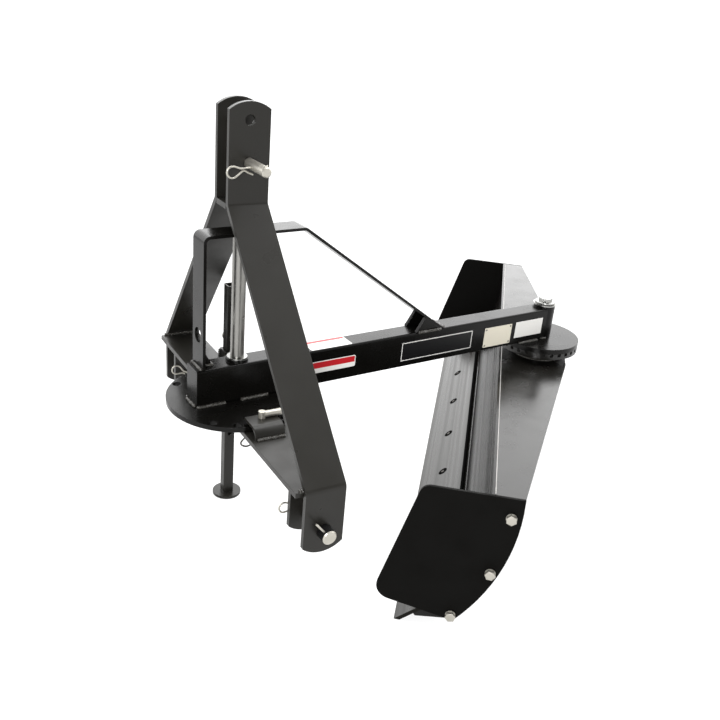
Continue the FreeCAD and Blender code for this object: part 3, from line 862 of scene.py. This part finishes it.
class BLADE_OT_plow_bolts(bpy.types.Operator):
    """Adds the flush bolts and the nuts that hold the cutting edge"""

    bl_idname = "blade.plow_bolts"
    bl_label = "Add Plow Bolts"

    def execute(self, context):
        fastener = context.scene.blade_fastener
        # The head is a matte black disc with a grey middle: the black is painted shade, standing in for the
        # shade in the countersunk recess round the head.
        rim = disc(fastener.plow_head, PLOW_RIM_HEIGHT, -PLOW_RIM_SUNK, PLOW_FACETS)
        coat(rim, FINISHES["recess"])
        middle = disc(PLOW_MIDDLE_SHARE * fastener.plow_head, PLOW_MIDDLE_HEIGHT, 0, PLOW_FACETS)
        coat(middle, FINISHES["bolt_middle"])
        rim = join("plow_bolt", rim, middle)
        nut = nut_end("plow_nut", fastener, "dark_steel")
        normal = PLOW_BOLT_WAY
        for number in range(-PLOW_BOLTS_A_SIDE, PLOW_BOLTS_A_SIDE + 1):
            point = Vector((PLOW_BOLT_FACE[0], number * PLOW_BOLT_PITCH, PLOW_BOLT_FACE[1]))
            behind = point - PLOW_BOLT_GRIP * normal
            for model, start, way in ((rim, point, normal), (nut, behind, -normal)):
                one = copy_of(model)
                one.name = f"{model.name}_{number + PLOW_BOLTS_A_SIDE + 1}"
                settle(one, PLACES["blade"] @ facing(start, way))
                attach(one, "blade")
        remove(rim)
        remove(nut)
        return {"FINISHED"}


# Spring clips of the linkage pins, in millimetres, as bent wire. The path lies in xz with the
# pin's centre at the origin.
CLIP_PATH = (
    (-24, 0),
    (-11, -2),
    (17, -2),
    (27, -3),
    (43, 1),
    (51, -1.5),
    (54.5, -8.5),
    (51, -16.5),
    (43, -19.5),
    (35, -15.5),
    (27, -9),
    (22.5, -7),
    (14.5, -10.5),
    (5, -14.5),
)
# Where each clip's pin is, and the turn of its loop.
CLIPS = {
    "top_link_clip": ((0, 62, 864), 0),
    "left_link_clip": ((-15, 303, 282), 29),
    "right_link_clip": ((-15, -303, 282), 38),
}
ROLL_PINS = {"left_roll_pin": (-15, 396, 282), "right_roll_pin": (-15, -396, 282)}
ROLL_PIN_TURN = 51
ROLL_PIN_FACETS = 20
ROLL_PIN_RADIUS = 1.8 * MM
ROLL_PIN_LENGTH = 57 * MM
ROLL_PIN_START = -16 * MM
# A wire eye under the low cross bar, in xz.
EYE_PATH = (
    (24, 358),
    (30, 344),
    (36.5, 337),
    (38, 333),
    (33, 326.5),
    (20, 324.5),
    (12, 332),
    (10, 345),
    (12, 358),
)
EYE_PLACE = 120
# The front corner at the top of the moldboard: forwards and up. A bright steel strip there is a painted
# highlight along the bend.
LIP = (89.8 * MM, 330.8 * MM)
# A matte black strip of painted shadow lies in the corner between the cutting edge and the moldboard.
SHADOW_STRIP = (144.8 * MM, 86.6 * MM)
HUB_FACETS = 64
STRIP_FACETS = 16
LIP_RADIUS = 1.0 * MM
SHADOW_STRIP_RADIUS = 4.2 * MM
# The lip's strip of painted highlight and the strip of painted shadow end just inside the shields.
STRIP_LENGTH = 1460 * MM
HUB_WASHER_RADIUS = 25.5 * MM
HUB_WASHER_THICKNESS = 4.5 * MM


def bent_wire(name, path, diameter, finish):
    """A smooth wire through the points of path."""
    bpy.ops.curve.primitive_bezier_curve_add()
    piece = bpy.context.active_object
    line = piece.data.splines[0]
    line.bezier_points.add(len(path) - 2)
    for knot, point in zip(line.bezier_points, path):
        knot.co = point
        knot.handle_left_type = knot.handle_right_type = "AUTO"
    line.resolution_u = 5
    piece.data.bevel_depth = diameter / 2
    piece.data.bevel_resolution = 3
    piece.data.use_fill_caps = True
    bpy.ops.object.convert(target="MESH")
    piece = join(name, bpy.context.active_object)
    coat(piece, FINISHES[finish])
    smooth(piece, ROUNDED_SHARP)
    return piece


class BLADE_OT_clips(bpy.types.Operator):
    """Adds the spring clips to the linkage pins"""

    bl_idname = "blade.clips"
    bl_label = "Add Spring Clips"

    def execute(self, context):
        wire = context.scene.blade_fastener.wire
        clip = bent_wire("clip", [(x * MM, 0, z * MM) for x, z in CLIP_PATH], wire, "zinc")
        for name, (pin, turn) in CLIPS.items():
            one = copy_of(clip)
            one.name = name
            swing = Matrix.Rotation(-math.radians(turn), 4, "Y")
            settle(one, PLACES["mast"] @ Matrix.Translation(Vector(pin) * MM) @ swing)
            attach(one, "mast")
        remove(clip)

        roll_pin = join("roll_pin", disc(ROLL_PIN_RADIUS, ROLL_PIN_LENGTH, ROLL_PIN_START, ROLL_PIN_FACETS))
        coat(roll_pin, FINISHES["zinc"])
        smooth(roll_pin)
        lean = math.radians(90 - ROLL_PIN_TURN)
        for name, pin in ROLL_PINS.items():
            one = copy_of(roll_pin)
            one.name = name
            place = Matrix.Translation(Vector(pin) * MM) @ Matrix.Rotation(lean, 4, "Y")
            settle(one, PLACES["mast"] @ place)
            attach(one, "mast")
        remove(roll_pin)

        path = [(x * MM, EYE_PLACE * MM, z * MM) for x, z in EYE_PATH]
        eye = bent_wire("bar_eye", path, wire, "dark_steel")
        settle(eye, PLACES["mast"])
        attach(eye, "mast")
        return {"FINISHED"}


class BLADE_OT_hub(bpy.types.Operator):
    """Adds the pivot's second washer, a bright strip of painted highlight on the moldboard's top lip and a
    black strip of painted shadow above the edge
    """

    bl_idname = "blade.hub"
    bl_label = "Add Washer and Lip"

    def execute(self, context):
        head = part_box("boom_washers")[1].z
        washer = join("hub_washer", disc(HUB_WASHER_RADIUS, HUB_WASHER_THICKNESS, head, HUB_FACETS))
        coat(washer, FINISHES["hub_zinc"])
        smooth(washer)
        settle(washer, PLACES["blade"])
        # A thin bright steel strip along the moldboard's top front corner: a painted highlight, standing in
        # for the light along the bend.
        lip = join("worn_lip", disc(LIP_RADIUS, STRIP_LENGTH, -STRIP_LENGTH / 2, STRIP_FACETS))
        coat(lip, FINISHES["worn"])
        # A matte black strip in the corner above the cutting edge: painted shadow, standing in for the
        # shade of the step between the edge and the moldboard.
        shadow_strip = join("edge_painted_shadow", disc(SHADOW_STRIP_RADIUS, STRIP_LENGTH, -STRIP_LENGTH / 2, STRIP_FACETS))
        coat(shadow_strip, FINISHES["recess"])
        for piece, (x, z) in ((lip, LIP), (shadow_strip, SHADOW_STRIP)):
            smooth(piece)
            settle(piece, PLACES["blade"] @ facing((x, 0, z), (0, 1, 0)))
        for piece in (washer, lip, shadow_strip):
            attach(piece, "blade")
        return {"FINISHED"}


# Welds in each body's own frame, in millimetres: straight runs, and rings as
# (centre x, y, z, radius, first angle, last angle).
HUB_X = -REACH / MM
RUNS = {
    "boom": (
        ((96, 27, 378.5), (36, 27, 378.5)),
        ((0, 27, 378.5), (-61, 27, 378.5)),
        ((96, -27, 378.5), (36, -27, 378.5)),
        ((0, -27, 378.5), (-61, -27, 378.5)),
        ((HUB_X + 94, 27, 378.5), (HUB_X + 32, 27, 378.5)),
        ((HUB_X + 94, -27, 378.5), (HUB_X + 32, -27, 378.5)),
        ((98.5, -20, 378), (98.5, 20, 378)),
        ((86.5, -22, 457.5), (86.5, 22, 457.5)),
        ((-519, -22, 457.5), (-519, 22, 457.5)),
        ((-505, 26, 457.5), (-440, 26, 457.5)),
        ((-505, -26, 457.5), (-440, -26, 457.5)),
        ((57, 4.5, 458), (78, 4.5, 458)),
        ((57, -4.5, 458), (78, -4.5, 458)),
    ),
    "mast": (
        ((-28, 177.5, 368), (30, 177.5, 368)),
        ((-44, 365, 368), (34, 365, 368)),
        ((-44, -365, 368), (34, -365, 368)),
        ((-50, -218.5, 345), (-50, -218.5, 384)),
        ((-50, -181.5, 345), (-50, -181.5, 384)),
    ),
    "blade": (
        ((-50, 61.5, 324), (60, 61.5, 324)),
        ((-50, -61.5, 324), (60, -61.5, 324)),
        ((-50, 54.5, 324), (60, 54.5, 324)),
        ((-50, -54.5, 324), (60, -54.5, 324)),
    ),
}
RINGS = {
    "boom": ((HUB_X, 0, 378, 28, 75, 285),),
    "mast": (),
    "blade": ((0, 0, 331.5, 62.5, 0, 360),),
}


# A ripple is this many pitches long, so that it overlaps the next. It is flatter than it is wide, and
# it wanders a little.
RIPPLE_OVERLAP = 1.5
RIPPLE_HEIGHT = 0.8
RIPPLE_WANDER = 1.5 * MM


def weld_run(bead, start, end, pitch):
    """Ripples in a straight line."""
    start, end = Vector(start) * MM, Vector(end) * MM
    piece = copy_of(bead)
    count = max(2, round((end - start).length / pitch))
    apply_modifier(
        "ARRAY",
        use_relative_offset=False,
        use_constant_offset=True,
        constant_offset_displace=(pitch, 0, 0),
        count=count,
    )
    turn = (end - start).to_track_quat("X", "Z").to_matrix().to_4x4()
    settle(piece, Matrix.Translation(start) @ turn)
    return piece


def weld_ring(bead, x, y, z, radius, first, last, pitch):
    """Ripples round a circle."""
    centre = Vector((x, y, z)) * MM
    piece = copy_of(bead)
    lead = Matrix.Rotation(math.radians(first), 4, "Z")
    out = Matrix.Translation((radius * MM, 0, 0)) @ Matrix.Rotation(math.pi / 2, 4, "Z")
    settle(piece, Matrix.Translation(centre) @ lead @ out)
    sweep = math.radians(last - first)
    bpy.ops.object.mode_set(mode="EDIT")
    bpy.ops.mesh.select_all(action="SELECT")
    bpy.ops.mesh.spin(
        steps=max(2, round(sweep * radius * MM / pitch)),
        dupli=True,
        angle=sweep,
        center=centre,
        axis=(0, 0, 1),
    )
    bpy.ops.object.mode_set(mode="OBJECT")
    return piece


class BLADE_OT_welds(bpy.types.Operator):
    """Adds the weld beads"""

    bl_idname = "blade.welds"
    bl_label = "Add Welds"

    def execute(self, context):
        weld = context.scene.blade_weld
        bpy.ops.mesh.primitive_ico_sphere_add(subdivisions=2, radius=weld.width / 2)
        bead = bpy.context.active_object
        bpy.ops.object.mode_set(mode="EDIT")
        bpy.ops.transform.resize(value=(weld.pitch / weld.width * RIPPLE_OVERLAP, 1, RIPPLE_HEIGHT))
        bpy.ops.object.mode_set(mode="OBJECT")
        coat(bead, FINISHES["weld"])
        smooth(bead, ROUNDED_SHARP)
        for body, runs in RUNS.items():
            lines = [weld_run(bead, start, end, weld.pitch) for start, end in runs]
            lines += [weld_ring(bead, *ring, weld.pitch) for ring in RINGS[body]]
            piece = join(f"{body}_welds", *lines)
            bpy.ops.object.mode_set(mode="EDIT")
            bpy.ops.mesh.select_all(action="SELECT")
            bpy.ops.transform.vertex_random(offset=RIPPLE_WANDER, uniform=0.0, normal=0.0, seed=4)
            bpy.ops.object.mode_set(mode="OBJECT")
            settle(piece, PLACES[body])
            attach(piece, body)
        remove(bead)
        return {"FINISHED"}


# Studio. The sky is brightest the way BRIGHT_WAY points.
BRIGHT_WAY = (-0.5, -0.8, 0.33)
SKY_STRENGTH = 3.8
DIM_SKY = 0.05
DIM_UNTIL = 0.35
BRIGHT_FROM = 0.85
# Near the horizon the sky is at least this bright, so that it meets the floor without a line.
HORIZON = 0.3
HORIZON_FROM = 0.1
HORIZON_UNTIL = 0.25
FLOOR_GREY = (0.25, 0.25, 0.25)
FLOOR_ROUGHNESS = 0.9
FLOOR_GLOW = 0.8
# Side in metres, power in watts, and place from the foot of the king pin.
SOFT_BOX = (2.0, 60, Vector((-0.5, -0.6, 3.2)))
FILL = (0.6, 60, Vector((1.5, 2.5, 1.6)))
FILL_AIM = Vector((0, 0, 0.4))
# Sensor in millimetres, far end of the view in metres.
SENSOR_WIDTH = 36
SEEN_UNTIL = 1000


def light_room():
    """A sky that is white behind and above the blade, and dim at the camera's side."""
    world = bpy.data.worlds.new("Studio")
    world.use_nodes = True
    bpy.context.scene.world = world
    nodes, links = world.node_tree.nodes, world.node_tree.links
    place = nodes.new("ShaderNodeTexCoord")
    lean = nodes.new("ShaderNodeVectorMath")
    lean.operation = "DOT_PRODUCT"
    lean.inputs[1].default_value = BRIGHT_WAY
    ramp = nodes.new("ShaderNodeValToRGB")
    ramp.color_ramp.elements[0].position = DIM_UNTIL
    ramp.color_ramp.elements[0].color = (DIM_SKY, DIM_SKY, DIM_SKY, 1)
    ramp.color_ramp.elements[1].position = BRIGHT_FROM
    ramp.color_ramp.elements[1].color = (1, 1, 1, 1)
    half = nodes.new("ShaderNodeMapRange")
    half.inputs["From Min"].default_value = -1
    half.inputs["From Max"].default_value = 1
    links.new(place.outputs["Generated"], lean.inputs[0])
    links.new(lean.outputs["Value"], half.inputs["Value"])
    links.new(half.outputs["Result"], ramp.inputs["Fac"])
    height = nodes.new("ShaderNodeSeparateXYZ")
    links.new(place.outputs["Generated"], height.inputs[0])
    horizon = nodes.new("ShaderNodeMapRange")
    horizon.inputs["From Min"].default_value = HORIZON_FROM
    horizon.inputs["From Max"].default_value = HORIZON_UNTIL
    horizon.inputs["To Min"].default_value = HORIZON
    horizon.inputs["To Max"].default_value = 0.0
    links.new(height.outputs["Z"], horizon.inputs["Value"])
    brighter = nodes.new("ShaderNodeMath")
    brighter.operation = "MAXIMUM"
    links.new(ramp.outputs["Color"], brighter.inputs[0])
    links.new(horizon.outputs["Result"], brighter.inputs[1])
    links.new(brighter.outputs[0], nodes["Background"].inputs["Color"])
    nodes["Background"].inputs["Strength"].default_value = SKY_STRENGTH


def lamp(name, size, energy, place):
    bpy.ops.object.light_add(type="AREA")
    light = bpy.context.active_object
    light.name = name
    light.data.size = size
    light.data.energy = energy
    light.location = Vector((KING_PIN.x, KING_PIN.y, 0)) + place
    return light


class BLADE_OT_stage(bpy.types.Operator):
    """Adds the floor, the light and the camera"""

    bl_idname = "blade.stage"
    bl_label = "Set Stage"

    def execute(self, context):
        stage = context.scene.blade_stage
        bpy.ops.mesh.primitive_plane_add(size=stage.floor)
        floor = bpy.context.active_object
        floor.name = "floor"
        pale = new_finish("Pale floor", FLOOR_GREY, FLOOR_ROUGHNESS, specular=0.0)
        shader = pale.node_tree.nodes["Principled BSDF"]
        shader.inputs["Emission Color"].default_value = (1, 1, 1, 1)
        shader.inputs["Emission Strength"].default_value = FLOOR_GLOW
        coat(floor, pale)
        light_room()

        lamp("soft_box", *SOFT_BOX)
        fill = lamp("fill", *FILL)
        fill.matrix_world = facing(fill.location, fill.location - FILL_AIM)

        bpy.ops.object.camera_add()
        camera = context.active_object
        camera.name = "camera"
        tilt, pan, roll = stage.camera_turn
        foot = Matrix.Translation((KING_PIN.x, KING_PIN.y, 0))
        aim = Matrix.Rotation(pan, 4, "Z") @ Matrix.Rotation(tilt, 4, "X")
        aim = aim @ Matrix.Rotation(roll, 4, "Z")
        camera.matrix_world = foot @ Matrix.Translation(stage.camera_place) @ aim
        camera.data.lens = stage.lens
        camera.data.sensor_width = SENSOR_WIDTH
        camera.data.clip_end = SEEN_UNTIL
        context.scene.camera = camera
        context.scene.view_settings.view_transform = "Standard"
        return {"FINISHED"}


class BLADE_PT_panel(bpy.types.Panel):
    """Lists the steps"""

    bl_idname = "BLADE_PT_panel"
    bl_label = "Grader Blade"
    bl_space_type = "VIEW_3D"
    bl_region_type = "UI"
    bl_category = "Grader Blade"

    def draw(self, context):
        for step in STEPS:
            self.layout.operator(step.bl_idname)


STEPS = (
    BLADE_OT_finish,
    BLADE_OT_stickers,
    BLADE_OT_data_plate,
    BLADE_OT_shield_bolts,
    BLADE_OT_plow_bolts,
    BLADE_OT_clips,
    BLADE_OT_hub,
    BLADE_OT_welds,
    BLADE_OT_stage,
)
SETTINGS = {
    "blade_paint": PaintSettings,
    "blade_sticker": StickerSettings,
    "blade_fastener": FastenerSettings,
    "blade_weld": WeldSettings,
    "blade_stage": StageSettings,
}


def register():
    for name, group in SETTINGS.items():
        bpy.utils.register_class(group)
        setattr(bpy.types.Scene, name, bpy.props.PointerProperty(type=group))
    for step in STEPS:
        bpy.utils.register_class(step)
    bpy.utils.register_class(BLADE_PT_panel)


def unregister():
    bpy.utils.unregister_class(BLADE_PT_panel)
    for step in reversed(STEPS):
        bpy.utils.unregister_class(step)
    for name, group in SETTINGS.items():
        delattr(bpy.types.Scene, name)
        bpy.utils.unregister_class(group)


def main():
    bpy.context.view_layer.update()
    deselect()
    register()
    bpy.ops.blade.finish()
    bpy.ops.blade.stickers()
    bpy.ops.blade.data_plate()
    bpy.ops.blade.shield_bolts()
    bpy.ops.blade.plow_bolts()
    bpy.ops.blade.clips()
    bpy.ops.blade.hub()
    bpy.ops.blade.welds()
    bpy.ops.blade.stage()


if __name__ == "__main__":
    main()
